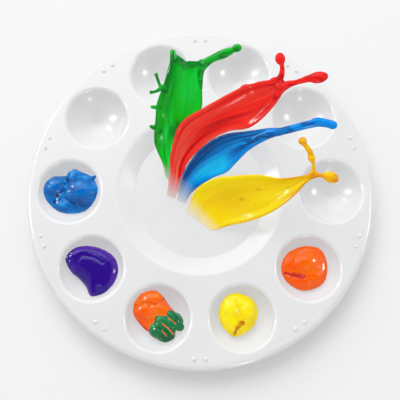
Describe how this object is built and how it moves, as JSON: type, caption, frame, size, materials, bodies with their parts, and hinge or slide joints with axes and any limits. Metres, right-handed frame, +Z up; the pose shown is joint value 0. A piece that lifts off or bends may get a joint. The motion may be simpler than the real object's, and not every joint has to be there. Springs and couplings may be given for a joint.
{
  "type": "mixing palette",
  "caption": "Round white plastic paint mixing palette: deep bowl wells in a ring round a shallow mixing well, with fresh paint in some wells and sheets of paint thrown up from the centre.",
  "frame": {"origin": "bottom centre of the palette's skirt, on the surface it stands on", "axes": "+Z up, out of the open side of the wells; +X through the centre of one well; the thrown paint leans towards +X and +Y"},
  "size_m": [0.171, 0.171, 0.0523],
  "materials": {
    "tray": "smooth glossy white moulded polystyrene",
    "dab_blue": "wet acrylic paint, glossy",
    "dab_purple": "wet acrylic paint, glossy",
    "dab_orange": "wet acrylic paint, glossy",
    "dab_green": "wet acrylic paint, glossy, with streaks",
    "dab_yellow": "wet acrylic paint, glossy, with a brown smear",
    "dab_vermilion": "wet acrylic paint, glossy, with a red smear",
    "splash_green": "wet acrylic paint, glossy",
    "splash_red": "wet acrylic paint, glossy",
    "splash_blue": "wet acrylic paint, glossy",
    "splash_yellow": "wet acrylic paint, glossy"
  },
  "bodies": {
    "root": {"palette_tray": "tray", "paint_dab_blue": "dab_blue", "paint_dab_purple": "dab_purple", "paint_dab_orange": "dab_orange", "paint_dab_green": "dab_green", "paint_dab_yellow": "dab_yellow", "paint_dab_vermilion": "dab_vermilion", "paint_splash_green": "splash_green", "paint_splash_red": "splash_red", "paint_splash_blue": "splash_blue", "paint_splash_yellow": "splash_yellow"}
  },
  "joints": []
}
